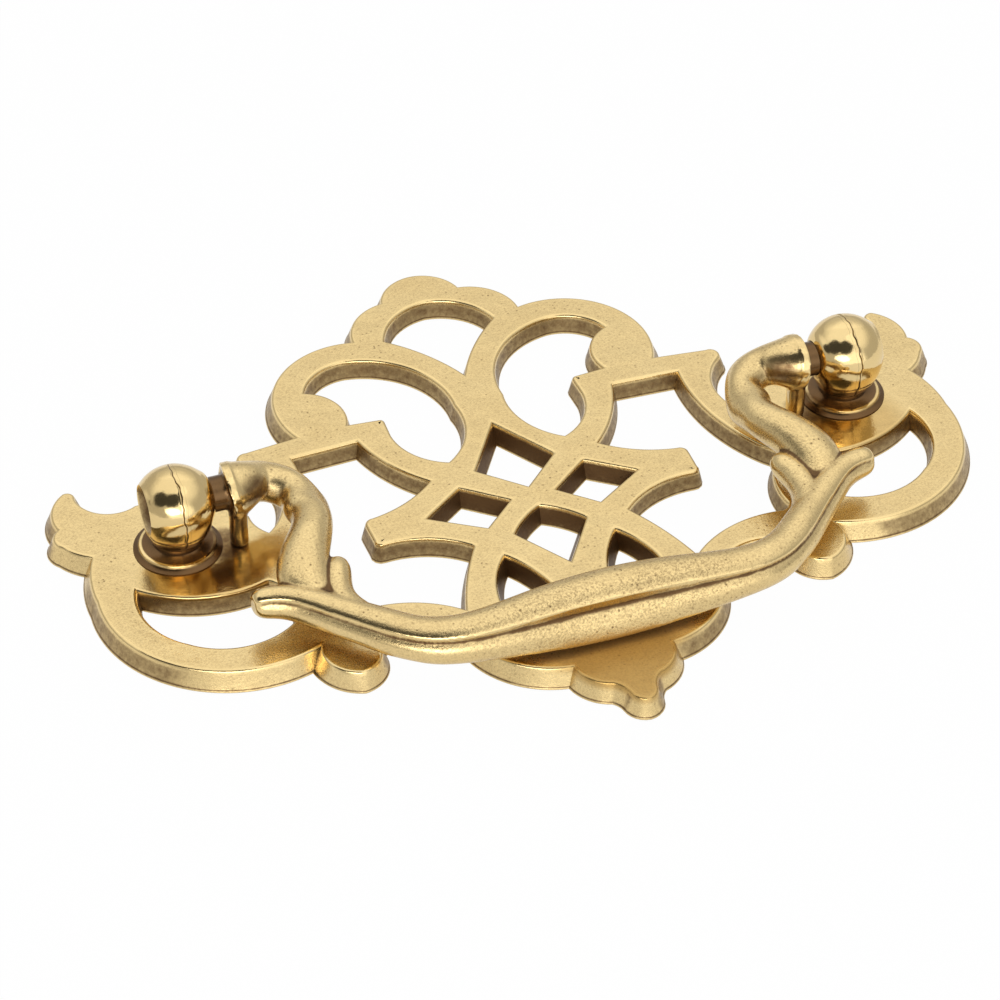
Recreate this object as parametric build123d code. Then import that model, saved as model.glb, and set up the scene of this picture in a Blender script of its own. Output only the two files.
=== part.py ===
from build123d import *
import os
from math import acos, cos, radians, sin

# Backplate pull: a pierced cast plate, two ball posts and one sculpted bail.
# Millimetres. +X runs from post to post, +Y up the drawer front, +Z out of it.
# The origin lies midway between the posts on the back face of the plate.

# Plate
PLATE_THICKNESS = 2.5
OUTLINE_DRAFT = 20.0
PIERCING_DRAFT = 13.0
EDGE_EASE = 0.3
EASE_ANGLE = 45.0
CROWN_TOP = 36.45
FINIAL_TIP = -38.1

# Posts
POST_SPACING = 76.2
BALL_DIAMETER = 8.6
BALL_RISE = 4.0
BALL_FALL = 5.7
PIVOT_ABOVE_PLATE = 6.0
NECK_DIAMETER = 5.4
COLLAR_DIAMETER = 8.2
COLLAR_BASE_DIAMETER = 9.4
COLLAR_HEIGHT = 0.7
SPIGOT_DIAMETER = 6.0
SPIGOT_CLEARANCE = 0.03
SCREW_BORE_DIAMETER = 3.5
SCREW_BORE_DEPTH = 5.0
COUNTERSINK_DIAMETER = 5.4

# Bail
PIN_DIAMETER = 3.8
PIN_CLEARANCE = 0.06
PIN_REACH = 1.2
ARM_DIAMETER = 4.4
ARM_END_DIAMETER = 6.3
ARM_END_TO_POST = 5.6
END_ROUNDING = 0.3
LUG_WIDTH = 1.9
LUG_DEPTH = 2.3
LUG_INSET = 0.7
LUG_FORWARD = 1.4
LUG_CLEARANCE = 0.03
GRIP_DROP = 26.5
GRIP_WIDTH = 6.4
GRIP_HEIGHT = 6.2

POST_X = POST_SPACING / 2
PIVOT_Z = PLATE_THICKNESS + PIVOT_ABOVE_PLATE


def wing(offset, y):
    """Point of the plate beside a post, set from the post's centre line."""
    return (POST_X + offset, y)


def trace(start, *stretches):
    """Edges of an outline: one point is a straight stretch, two points an arc."""
    edges = []
    here = start
    for stretch in stretches:
        if len(stretch) == 1:
            edges.append(Line(here, stretch[0]))
        else:
            edges.append(ThreePointArc(here, stretch[0], stretch[1]))
        here = stretch[-1]
    return edges


def mirrored_face(edges):
    """Face bounded by half an outline and its reflection in the centre line."""
    half = Curve() + edges
    return make_face(half + mirror(half, Plane.YZ))


def leaning(face, bottom, top, level, angle):
    """Solid between two heights with the face's outline at the level, wider below it by the angle."""
    block = extrude(Pos(0, 0, bottom) * face, top - bottom)
    walls = block.faces().filter_by(lambda wall: abs(wall.normal_at().Z) < 0.5)
    return draft(walls, Plane.XY.offset(level), angle)


def drafted(face, angle, ease):
    """Plate-thick solid with drafted walls and an eased front edge."""
    level = PLATE_THICKNESS - EDGE_EASE
    return leaning(face, 0, level, level, angle) + leaning(face, level, PLATE_THICKNESS, level, ease)


def plate_outline():
    """Right half of the outer edge, from the crown's top round to the finial."""
    return trace(
        (0, CROWN_TOP),
        [(3.3, 35.1), (4.7, 32.7)],
        [(8.2, 31.0), (9.95, 27.0)],
        [(19.4, 24.05), (21.0, 13.1)],
        [wing(-11.2, 12.45)],
        [wing(-10.0, 11.9), wing(-10.15, 10.7)],
        [wing(-12.5, 7.2), wing(-12.6, 3.9)],
        [wing(-11.6, 1.3), wing(-9.7, -0.9)],
        [wing(-8.85, 0.4), wing(-8.5, 2.3)],
        [wing(-5.6, 6.3), wing(-0.5, 8.2)],
        [wing(2.5, 8.0)],
        [wing(6.9, 8.5), wing(8.2, 11.2)],
        [wing(8.35, 12.2), wing(9.3, 12.4)],
        [wing(11.2, 9.9), wing(11.25, 6.9)],
        [wing(12.1, 5.6), wing(11.5, 3.9)],
        [wing(10.4, 2.4), wing(9.05, 1.4)],
        [wing(10.1, -1.9), wing(10.3, -5.4)],
        [wing(2.6, -19.3), wing(-9.4, -19.6)],
        [wing(-9.7, -23.0), wing(-12.3, -24.85)],
        [wing(-14.6, -23.5), wing(-15.1, -20.8)],
        [wing(-19.1, -19.4), (14.2, -22.7)],
        [(11.7, -28.15), (5.6, -31.2)],
        [(4.75, -33.4), (2.65, -34.8)],
        [(1.9, -35.6), (1.5, -36.7)],
        [(0.95, -37.7), (0, FINIAL_TIP)],
    )


def crown_piercing():
    """Right half of the opening under the crown."""
    return trace(
        (0, 31.2),
        [(4.6, 29.1), (6.45, 25.9)],
        [(2.75, 22.0), (0, 17.35)],
    )


def diamond_piercings():
    """Right halves of the upper and lower diamonds on the centre line."""
    upper = trace((0, 8.15), [(4.45, 1.2)], [(0, -3.05)])
    lower = trace((0, -6.4), [(2.2, -7.9), (4.0, -9.9)], [(0, -15.9)])
    return upper, lower


def side_piercings():
    """Closed edges of each opening on the right of the centre line."""
    scroll_eye = trace(
        (17.8, 20.1),
        [(15.8, 22.7), (12.0, 23.8)],
        [(5.3, 20.1), (2.9, 12.6)],
        [(3.7, 7.0), (6.7, 3.6)],
        [(10.0, 6.4), (11.1, 10.0)],
        [(11.0, 12.4)],
        [(11.15, 12.8), (11.5, 12.95)],
        [(15.0, 13.25)],
        [(14.8, 17.0), (17.8, 20.1)],
    )
    side_diamond = trace((7.15, -0.95), [(11.95, -4.45)], [(6.4, -8.0)], [(2.65, -4.55)], [(7.15, -0.95)])
    petal_eye = trace(
        (6.25, -12.75),
        [(8.2, -15.9), (9.05, -20.0)],
        [(6.0, -24.6), (2.95, -20.0)],
        [(4.2, -15.9), (6.25, -12.75)],
    )
    side_window = trace(
        (14.9, 10.15),
        [wing(-15.6, 9.8)],
        [wing(-15.3, 3.0), wing(-11.6, -5.4)],
        [wing(-10.4, -6.8)],
        [wing(-12.9, -11.0), wing(-13.0, -15.0)],
        [wing(-13.4, -15.6), wing(-14.4, -15.75)],
        [wing(-21.0, -16.6), (12.9, -19.3)],
        [(11.2, -14.7), (8.8, -10.25)],
        [(13.2, -7.5), (17.6, -6.95)],
        [(18.3, -6.7), (18.4, -6.0)],
        [(18.45, -3.5)],
        [(18.2, -2.7), (17.4, -2.4)],
        [(13.4, -1.2), (9.75, 1.25)],
        [(13.0, 5.4), (14.9, 10.15)],
    )
    crescent = trace(
        wing(5.9, -5.25),
        [wing(6.35, -9.2), wing(3.1, -14.7)],
        [wing(-2.6, -16.95), wing(-7.9, -15.2)],
        [wing(-9.0, -11.6), wing(-7.4, -8.3)],
        [wing(-1.4, -8.75), wing(5.9, -5.25)],
    )
    return scroll_eye, side_diamond, petal_eye, side_window, crescent


def build_backplate():
    """Pierced casting: every wall leans outward to the back, every front edge is eased."""
    plate = drafted(mirrored_face(plate_outline()), OUTLINE_DRAFT, EASE_ANGLE)
    for half in (crown_piercing(), *diamond_piercings()):
        plate -= drafted(mirrored_face(half), -PIERCING_DRAFT, -EASE_ANGLE)
    for edges in side_piercings():
        opening = drafted(make_face(edges), -PIERCING_DRAFT, -EASE_ANGLE)
        plate -= opening + mirror(opening, Plane.YZ)
    hole = Cylinder(SPIGOT_DIAMETER / 2 + SPIGOT_CLEARANCE, 4 * PLATE_THICKNESS)
    for side in (-1, 1):
        plate -= Pos(side * POST_X, 0, 0) * hole
    return plate


def build_post(side):
    """Egg-shaped ball on a short neck and a bevelled collar, with a spigot through the plate."""
    ball = BALL_DIAMETER / 2
    neck = NECK_DIAMETER / 2
    collar = COLLAR_DIAMETER / 2
    spigot = SPIGOT_DIAMETER / 2
    top = PLATE_THICKNESS
    shoulder = top + COLLAR_HEIGHT
    low = acos(neck / ball)

    def egg(angle, reach):
        return (ball * cos(angle), PIVOT_Z + reach * sin(angle))

    lower = Spline(*[egg(-low * k / 4, BALL_FALL) for k in range(4, -1, -1)])
    upper = Spline(*[egg(radians(22.5 * k), BALL_RISE) for k in range(5)], tangents=[(0, 1), (-1, 0)])
    edges = [
        Line((0, 0), (spigot, 0)),
        Line((spigot, 0), (spigot, top)),
        Line((spigot, top), (COLLAR_BASE_DIAMETER / 2, top)),
        Line((COLLAR_BASE_DIAMETER / 2, top), (collar, shoulder)),
        Line((collar, shoulder), (neck, shoulder + 0.2)),
        Line((neck, shoulder + 0.2), lower @ 0),
        lower,
        upper,
        Line(upper @ 1, (0, 0)),
    ]
    profile = make_face(Plane.XZ * (Curve() + edges))
    post = revolve(profile, Axis.Z)
    bore = PIN_DIAMETER / 2 + PIN_CLEARANCE
    pivot = Pos(0, 0, PIVOT_Z) * Rot(0, side * 90, 0)
    post -= pivot * Cylinder(bore, 2 * BALL_DIAMETER)
    sink_depth = (COUNTERSINK_DIAMETER / 2 - bore) * 0.8
    rim = (ball**2 - COUNTERSINK_DIAMETER**2 / 4) ** 0.5
    sink = Cone(bore, COUNTERSINK_DIAMETER / 2, sink_depth)
    post -= pivot * Pos(0, 0, rim - sink_depth / 2) * sink
    post -= pivot * Pos(0, 0, rim + ball / 2) * Cylinder(COUNTERSINK_DIAMETER / 2, ball)
    post -= Pos(0, 0, SCREW_BORE_DEPTH / 2) * Cylinder(SCREW_BORE_DIAMETER / 2, SCREW_BORE_DEPTH)
    return Pos(side * POST_X, 0, 0) * post


def grip_section(x, y, z, heading, half_width, half_height, flare):
    """Section across the grip: crowned top to a ridge, groove under it, front facet to a foot, rounded back."""
    across = (sin(radians(heading)), -cos(radians(heading)))

    def at(u, v):
        return (x + across[0] * u * half_width, y + across[1] * u * half_width, z + v * half_height)

    back = at(-0.95, -0.2)
    ridge = at(0.72 - 0.17 * flare, 0.62 - 0.12 * flare)
    groove = at(0.63 - 0.16 * flare, 0.42 - 0.3 * flare)
    bulge = at(0.98 - 0.18 * flare, -0.12 - 0.34 * flare)
    foot = at(0.62 + 0.31 * flare, -0.74 - 0.21 * flare)
    return Wire(
        [
            ThreePointArc(back, at(-0.42, 0.9), ridge).edge(),
            Line(ridge, groove).edge(),
            ThreePointArc(groove, bulge, foot).edge(),
            ThreePointArc(foot, at(-0.3, -0.96), back).edge(),
        ]
    )


def build_grip():
    """Grip and its two outer leaves, one loft from leaf tip to leaf tip."""
    front = PLATE_THICKNESS
    half_w = GRIP_WIDTH / 2
    half_h = GRIP_HEIGHT / 2
    stations = [
        (7.0, -GRIP_DROP - 0.15, 3.5, -1, half_w - 0.2, half_h - 0.2, 0.85),
        (13.0, -GRIP_DROP - 0.35, 3.3, 4, half_w - 0.6, half_h - 0.5, 0.4),
        (POST_X - 20.1, -26.2, 3.15, 22, 2.4, 2.45, 0.1),
        (POST_X - 16.9, -24.4, 3.15, 40, 2.3, 2.35, 0),
        (POST_X - 13.9, -21.7, 3.25, 49, 2.2, 2.25, 0),
        (POST_X - 11.0, -19.0, 3.35, 47, 2.0, 2.15, 0),
        (POST_X - 8.5, -17.0, 3.5, 34, 1.7, 2.1, 0),
        (POST_X - 5.9, -15.7, 3.65, 10, 1.55, 1.9, 0),
        (POST_X - 4.4, -15.5, 3.7, -2, 1.4, 1.65, 0),
        (POST_X - 3.6, -15.6, 3.75, -8, 0.75, 0.9, 0),
    ]
    right = [grip_section(x, y, front + z, h, w, t, f) for x, y, z, h, w, t, f in stations]
    left = [grip_section(-x, y, front + z, -h, w, t, f) for x, y, z, h, w, t, f in reversed(stations)]
    middle = grip_section(0, -GRIP_DROP, front + 3.55, 0, half_w, half_h, 1)
    return Solid.make_loft(left + [middle] + right)


def rod(stations, start, end, sole):
    """Rod along a smooth line through the stations, each a point, a half width and a half height.

    Every section is oval down to the sole angle below its middle and flat underneath.
    """
    line = Spline(*[point for point, *halves in stations], tangents=[start, end])
    sections = []
    for point, half_width, half_height in stations:
        along = line.tangent_at(line.param_at_point(Vector(*point)))
        sideways = Vector(0, 0, 1).cross(along)
        back = EllipticalCenterArc((0, 0), half_width, half_height, -sole, arc_size=180 + 2 * sole)
        outline = Curve() + [back, Line(back @ 1, back @ 0)]
        sections.append(Plane(point, x_dir=sideways, z_dir=along) * make_face(outline))
    return loft(sections)


def build_arm():
    """Swan-neck arm: broad between the leaves, slim at the bend, flared to its end on the pivot line."""
    front = PLATE_THICKNESS
    half = ARM_DIAMETER / 2
    flare = ARM_END_DIAMETER / 2
    end = POST_X - ARM_END_TO_POST
    stations = [
        ((POST_X - 12.0, -20.4, front + 2.7), 1.4, 1.2),
        ((POST_X - 10.9, -18.0, front + 3.0), half - 0.2, 1.6),
        ((POST_X - 10.0, -15.6, front + 3.6), half + 0.45, half - 0.1),
        ((POST_X - 9.7, -13.6, front + 4.4), half + 0.65, half - 0.05),
        ((POST_X - 10.5, -11.3, front + 5.0), half + 0.4, half),
        ((POST_X - 12.0, -8.6, front + 5.2), half + 0.05, half),
        ((POST_X - 13.0, -5.4, front + 4.9), half - 0.05, half - 0.05),
        ((POST_X - 12.85, -2.3, front + 4.6), half - 0.05, half - 0.05),
        ((POST_X - 11.55, 0.4, front + 4.8), half - 0.05, half - 0.05),
        ((POST_X - 9.3, 1.15, front + 5.35), half, half),
        ((POST_X - 7.3, 0.5, PIVOT_Z - 0.15), half + 0.5, half + 0.5),
        ((end - END_ROUNDING, 0, PIVOT_Z), flare, flare),
        ((end, 0, PIVOT_Z), flare - END_ROUNDING, flare - END_ROUNDING),
    ]
    return rod(stations, (0.4, 1, 0.3), (1, -0.05, 0.1), 50)


def build_inner_leaf():
    """Short leaf that parts from the grip and curls up beside the arm."""
    front = PLATE_THICKNESS
    stations = [
        ((POST_X - 16.2, -23.6, front + 3.2), 1.8, 1.8),
        ((POST_X - 13.6, -20.9, front + 3.4), 1.8, 1.8),
        ((POST_X - 12.4, -18.0, front + 3.6), 1.7, 1.7),
        ((POST_X - 12.6, -15.4, front + 3.9), 1.6, 1.6),
        ((POST_X - 13.3, -13.5, front + 4.2), 1.4, 1.4),
        ((POST_X - 13.8, -12.5, front + 4.4), 0.7, 0.7),
    ]
    return rod(stations, (1, 1, 0), (-0.5, 1, 0.2), 60)


def build_bail_end():
    """Trunnion pin from the arm's flared end and the lug that rests on the plate."""
    end = POST_X - ARM_END_TO_POST
    pin_start = end - LUG_INSET
    pin_end = POST_X + PIN_REACH
    pin = Pos((pin_start + pin_end) / 2, 0, PIVOT_Z) * Rot(0, 90, 0)
    pin *= Cylinder(PIN_DIAMETER / 2, pin_end - pin_start)
    height = PIVOT_ABOVE_PLATE - LUG_CLEARANCE
    lug = extrude(SlotOverall(LUG_DEPTH, LUG_WIDTH, rotation=90), height)
    return pin + Pos(end - LUG_INSET, -LUG_FORWARD, PIVOT_Z - height) * lug


def build_bail():
    """One casting: grip with outer leaves, inner leaves, arms, lugs and pins."""
    bail = Part() + build_grip()
    for piece in (build_inner_leaf(), build_arm(), build_bail_end()):
        bail += piece
        bail += mirror(piece, Plane.YZ)
    return bail


os.makedirs("parts", exist_ok=True)
export_step(build_backplate(), "parts/backplate.step")
export_step(build_post(-1), "parts/left_post.step")
export_step(build_post(1), "parts/right_post.step")
export_step(build_bail(), "parts/bail.step")
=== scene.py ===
"""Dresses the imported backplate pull: a pierced cast plate, two ball posts and a swinging bail."""

import logging
from dataclasses import dataclass, field
from enum import Enum
from math import acos, atan2, ceil, cos, exp, pi, radians, sin, sqrt, tan

import bmesh
import bpy
import numpy as np
from mathutils import Matrix, Vector
from mathutils.kdtree import KDTree


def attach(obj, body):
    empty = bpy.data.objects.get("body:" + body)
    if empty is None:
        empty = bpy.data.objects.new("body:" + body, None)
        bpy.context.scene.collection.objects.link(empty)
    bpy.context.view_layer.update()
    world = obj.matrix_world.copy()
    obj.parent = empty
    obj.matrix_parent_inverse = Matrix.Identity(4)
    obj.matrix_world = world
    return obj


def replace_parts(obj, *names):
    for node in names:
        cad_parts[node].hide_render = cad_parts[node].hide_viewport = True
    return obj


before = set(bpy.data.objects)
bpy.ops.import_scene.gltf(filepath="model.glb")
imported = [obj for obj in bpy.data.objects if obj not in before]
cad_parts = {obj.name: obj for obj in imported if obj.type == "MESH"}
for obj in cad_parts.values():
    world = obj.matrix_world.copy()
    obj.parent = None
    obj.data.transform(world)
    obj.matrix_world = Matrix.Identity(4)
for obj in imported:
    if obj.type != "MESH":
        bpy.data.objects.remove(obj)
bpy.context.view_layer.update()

LOG = logging.getLogger("backplate_pull")
MM = 0.001
NUMBER = "NodeSocketFloat"
CREASE = radians(38)
STRAIGHT = 1e-6
SMALL_SHARE = 1e-4
MIRROR = np.array((-1.0, 1.0))

Point = tuple[float, float]
Place = tuple[float, float, float]
Colour = tuple[float, float, float]
Run = list[Point]
Step = tuple[float, float, float, float]
Inputs = dict[str | int, object]
Socket = bpy.types.NodeSocket


class Carrier(Enum):
    """Rigid bodies that the pieces ride on."""

    BASE = "base"
    SWING = "swing"


@dataclass(frozen=True)
class Zone:
    """Soft-edged place on the right of the casting and its mirror image, in millimetres.

    A squash above 1 flattens the zone, its reach says where the fade starts and ends, and its share is
    the value in its middle.
    """

    place: Place
    squash: float
    reach: Point
    share: float = 1.0


class Graph:
    """Node tree with short ways of adding to it."""

    def __init__(self, tree: bpy.types.NodeTree) -> None:
        """Takes the tree that is added to."""
        self.tree = tree

    def node(self, kind: str, inputs: Inputs, **settings: object) -> bpy.types.Node:
        """Adds a node.

        Args:
            kind: Blender's name of the node type.
            inputs: Values of its inputs by name or number, see feed.
            settings: Node properties to set.

        Returns:
            The new node.
        """
        made = self.tree.nodes.new(kind)
        for name, value in settings.items():
            setattr(made, name, value)
        self.feed(made, inputs)
        return made

    def feed(self, node: bpy.types.Node, inputs: Inputs) -> None:
        """Gives inputs of a node their values.

        Args:
            node: The node.
            inputs: For each input an output to link, or the number, vector or colour to set.
        """
        for key, value in inputs.items():
            if isinstance(value, Socket):
                self.tree.links.new(value, node.inputs[key])
            else:
                node.inputs[key].default_value = (*value, 1.0) if isinstance(value, tuple) else value

    def maths(self, operation: str, first: object, second: object) -> Socket:
        """Adds a Math node with a socket or number for each input and returns its output."""
        return self.node("ShaderNodeMath", {0: first, 1: second}, operation=operation).outputs[0]

    def ramp(
        self, value: Socket, low: float, high: float, before: object = 0.0, after: object = 1.0
    ) -> Socket:
        """Adds a smooth step.

        Args:
            value: Socket that is stepped.
            low: Value where the step starts.
            high: Value where the step ends.
            before: Socket or number below the step.
            after: Socket or number above it.

        Returns:
            The stepped value.
        """
        inputs = {"Value": value, "From Min": low, "From Max": high, "To Min": before, "To Max": after}
        return self.node("ShaderNodeMapRange", inputs, interpolation_type="SMOOTHSTEP").outputs["Result"]

    def span(self, value: Socket, low: float, high: float) -> Socket:
        """Carries a mask evenly onto the range from low to high and returns the result."""
        inputs = {"Value": value, "To Min": low, "To Max": high}
        return self.node("ShaderNodeMapRange", inputs).outputs["Result"]

    def blend(self, factor: Socket, first: object, second: Colour) -> Socket:
        """Mixes a second colour over a first by a mask and returns the result."""
        inputs = {"Factor": factor, "A": first, "B": second}
        return self.node("ShaderNodeMix", inputs, data_type="RGBA").outputs["Result"]


class Effect(Graph):
    """Shader effect kept as one node group and placed in each brass that shows it."""

    title: str = ""
    takes: tuple[str, ...] = ()
    gives: tuple[str, ...] = ()

    def __init__(self) -> None:
        """Makes the group with its sockets and lets the effect fill it."""
        super().__init__(bpy.data.node_groups.new(self.title, "ShaderNodeTree"))
        for way, names in (("INPUT", self.takes), ("OUTPUT", self.gives)):
            for name in names:
                self.tree.interface.new_socket(name, in_out=way, socket_type=NUMBER)
        self.node("NodeGroupOutput", self.fill())

    def fill(self) -> Inputs:
        """Adds the nodes of the effect and returns what each of its outputs gives."""
        raise NotImplementedError

    def given(self, name: str) -> Socket:
        """Reads one of the inputs of the group."""
        return self.node("NodeGroupInput", {}).outputs[name]

    def place(self) -> Socket:
        """Reads the place in the object's own space."""
        return self.node("ShaderNodeTexCoord", {}).outputs["Object"]

    def mark(self, name: str) -> Socket:
        """Reads one of the marks that the pieces carry at their vertices."""
        return self.node("ShaderNodeAttribute", {}, attribute_name=name).outputs["Fac"]

    def noise(self, scale: float, detail: float, roughness: float = 0.55) -> Socket:
        """Adds solid noise in the object's own space.

        Args:
            scale: Number of features in a metre.
            detail: Octaves of detail.
            roughness: Strength of the finer octaves.

        Returns:
            The noise value.
        """
        inputs = {"Vector": self.place(), "Scale": scale, "Detail": detail, "Roughness": roughness}
        return self.node("ShaderNodeTexNoise", inputs).outputs["Fac"]

    def near(self, zone: Zone) -> Socket:
        """Fades from a zone's share in its middle to 0 away from it.

        Args:
            zone: The zone, which counts on both sides of the centre line.

        Returns:
            The fading value.
        """
        split = self.node("ShaderNodeSeparateXYZ", {"Vector": self.place()})
        total = None
        for axis, centre in zip("XYZ", zone.place):
            offset = split.outputs[axis]
            if axis == "X":
                offset = self.maths("ABSOLUTE", offset, 0.0)
            offset = self.maths("SUBTRACT", offset, centre * MM)
            if axis == "Z":
                offset = self.maths("MULTIPLY", offset, zone.squash)
            square = self.maths("MULTIPLY", offset, offset)
            total = square if total is None else self.maths("ADD", total, square)
        away = self.ramp(self.maths("POWER", total, 0.5), *(MM * end for end in zone.reach))
        inside = self.maths("SUBTRACT", 1.0, away)
        return inside if zone.share == 1.0 else self.maths("MULTIPLY", inside, zone.share)


class CastPits(Effect):
    """Fine dark pits and grains left in the cast skin."""

    title = "cast_pits"
    takes = ("Amount", "Gloss")
    gives = ("Pits", "Height")
    grain_scale: float = 4300.0
    pit_scale: float = 1900.0
    patch_scale: float = 230.0
    grain_share: float = 0.52
    rub_loss: float = 0.85
    coarse_grip: Zone = Zone((7.0, -27.0, 8.5), 1.5, (3.0, 11.0), 0.32)

    def fill(self) -> Inputs:
        """Strews small pits over an even grain, thinned out in broad patches and where polish rubs.

        Returns:
            The pits and their height.
        """
        grain = self.ramp(self.noise(self.grain_scale, 3.0, 0.7), 0.36, 0.80)
        laid = {"Vector": self.place(), "Scale": self.pit_scale}
        cells = self.node("ShaderNodeTexVoronoi", laid, feature="F1")
        chance = self.node("ShaderNodeSeparateColor", {"Color": cells.outputs["Color"]})
        holes = self.maths("SUBTRACT", 1.0, self.ramp(cells.outputs["Distance"], 0.10, 0.34))
        strewn = self.maths("MULTIPLY", holes, self.ramp(chance.outputs["Red"], 0.45, 0.95))
        patches = self.ramp(self.noise(self.patch_scale, 3.0), 0.36, 0.68)
        thinned = self.maths("ADD", self.maths("MULTIPLY", patches, 0.7), 0.3)
        spread = self.maths("MULTIPLY", strewn, thinned)
        coarse = self.maths("ADD", self.near(self.coarse_grip), self.grain_share)
        both = self.maths("ADD", self.maths("MULTIPLY", grain, coarse), spread)
        lost = self.maths("MULTIPLY", self.given("Gloss"), self.rub_loss)
        rubbed = self.maths("SUBTRACT", 1.0, lost)
        pits = self.maths("MULTIPLY", self.maths("MULTIPLY", both, rubbed), self.given("Amount"))
        return {"Pits": pits, "Height": self.maths("MULTIPLY", pits, -1.0)}


class PatinaAndShade(Effect):
    """Brown oxide that stays where polishing can't reach, together with painted shade from the marks and
    in each arm's bend, at its shoulder and in the gap by each lug.
    """

    title = "patina_and_shade"
    takes = ("Depth",)
    gives = ("Tarnish_and_Shade", "Smudge")
    shelter_reach: float = 2.2
    blot_scale: float = 1500.0
    blot_share: float = 0.55
    smudge_scale: float = 140.0
    # Painted shade: the zones at each arm's bend, at its shoulder and in the gap beside each lug darken
    # plate and bail where the bail shades them and its dark underside is mirrored.
    arm_bend_shade: Zone = Zone((31.0, -6.5, 6.0), 1.6, (3.0, 6.5), 0.75)
    arm_shoulder_shade: Zone = Zone((29.2, -2.6, 9.4), 1.0, (1.2, 3.6), 0.72)
    lug_gap_shadow: Zone = Zone((33.6, -1.2, 2.5), 1.2, (1.6, 3.8), 0.7)

    def fill(self) -> Inputs:
        """Darkens what neighbouring metal shelters, what the darkening mark asks for (oxide and painted
        shade) and the zones of painted shade, with a broken edge.

        Returns:
            The darkening, oxide and painted shade together, and broad smudges.
        """
        reach = {"Distance": self.shelter_reach * MM}
        near = self.node("ShaderNodeAmbientOcclusion", reach, samples=12, only_local=True)
        shelter = self.maths("SUBTRACT", 1.0, near.outputs["AO"])
        blots = self.maths("SUBTRACT", self.noise(self.blot_scale, 4.0, 0.65), 0.5)
        broken = self.maths("MULTIPLY", blots, self.blot_share)
        sheltered = self.ramp(self.maths("ADD", shelter, broken), 0.30, 0.80)
        soiled_and_shaded = self.mark("grime_and_shade")
        # The painted shade zones are laid over the darkening mark.
        for zone in (self.arm_bend_shade, self.arm_shoulder_shade, self.lug_gap_shadow):
            soiled_and_shaded = self.maths("MAXIMUM", soiled_and_shaded, self.near(zone))
        uneven = self.maths("MINIMUM", self.maths("ADD", self.maths("MULTIPLY", soiled_and_shaded, 1.6), 0.15), 0.9)
        grimy_and_shaded = self.ramp(self.maths("ADD", soiled_and_shaded, self.maths("MULTIPLY", broken, uneven)), 0.15, 0.85)
        worst = self.maths("MAXIMUM", sheltered, grimy_and_shaded)
        tarnish_and_shade = self.maths("MULTIPLY", worst, self.given("Depth"))
        return {"Tarnish_and_Shade": tarnish_and_shade, "Smudge": self.noise(self.smudge_scale, 4.0, 0.6)}


class PolishMarks(Effect):
    """Soft unevenness, hair scratches, the places that polish has kept bright, and painted reflection: a
    darker brown tone on the plate round each post and a darker, duller one under the grip.
    """

    title = "polish_marks"
    gives = ("Height", "Gloss", "PaintedReflection", "Matte")
    swell_scale: float = 330.0
    hair_scale: float = 3600.0
    hair_share: float = 0.10
    matte_share: float = 0.45
    post_seat: Zone = Zone((36.0, -3.5, 4.0), 0.6, (5.5, 10.0), 0.85)
    post_ground_reflection: Zone = Zone((36.5, -5.5, 2.5), 4.0, (4.5, 8.5), 0.6)
    finial_reflection: Zone = Zone((0.0, -32.0, 2.6), 8.0, (4.5, 11.0))

    def fill(self) -> Inputs:
        """Adds fine scratches to a slow swell, and finds the bright places, the painted reflection and the
        dull places.

        Returns:
            The height of the skin and a mask for each kind of place.
        """
        hair = self.maths("MULTIPLY", self.noise(self.hair_scale, 2.0), self.hair_share)
        # Painted reflection: under the grip and round each post the plate takes a darker brown tone where
        # it mirrors the darker metal above it; under the grip it is also duller.
        sheltered = self.near(self.finial_reflection)
        return {
            "Height": self.maths("ADD", self.noise(self.swell_scale, 2.0), hair),
            "Gloss": self.maths("MAXIMUM", self.near(self.post_seat), self.mark("rub")),
            "PaintedReflection": self.maths("MAXIMUM", sheltered, self.near(self.post_ground_reflection)),
            "Matte": self.maths("MULTIPLY", sheltered, self.matte_share),
        }


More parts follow.
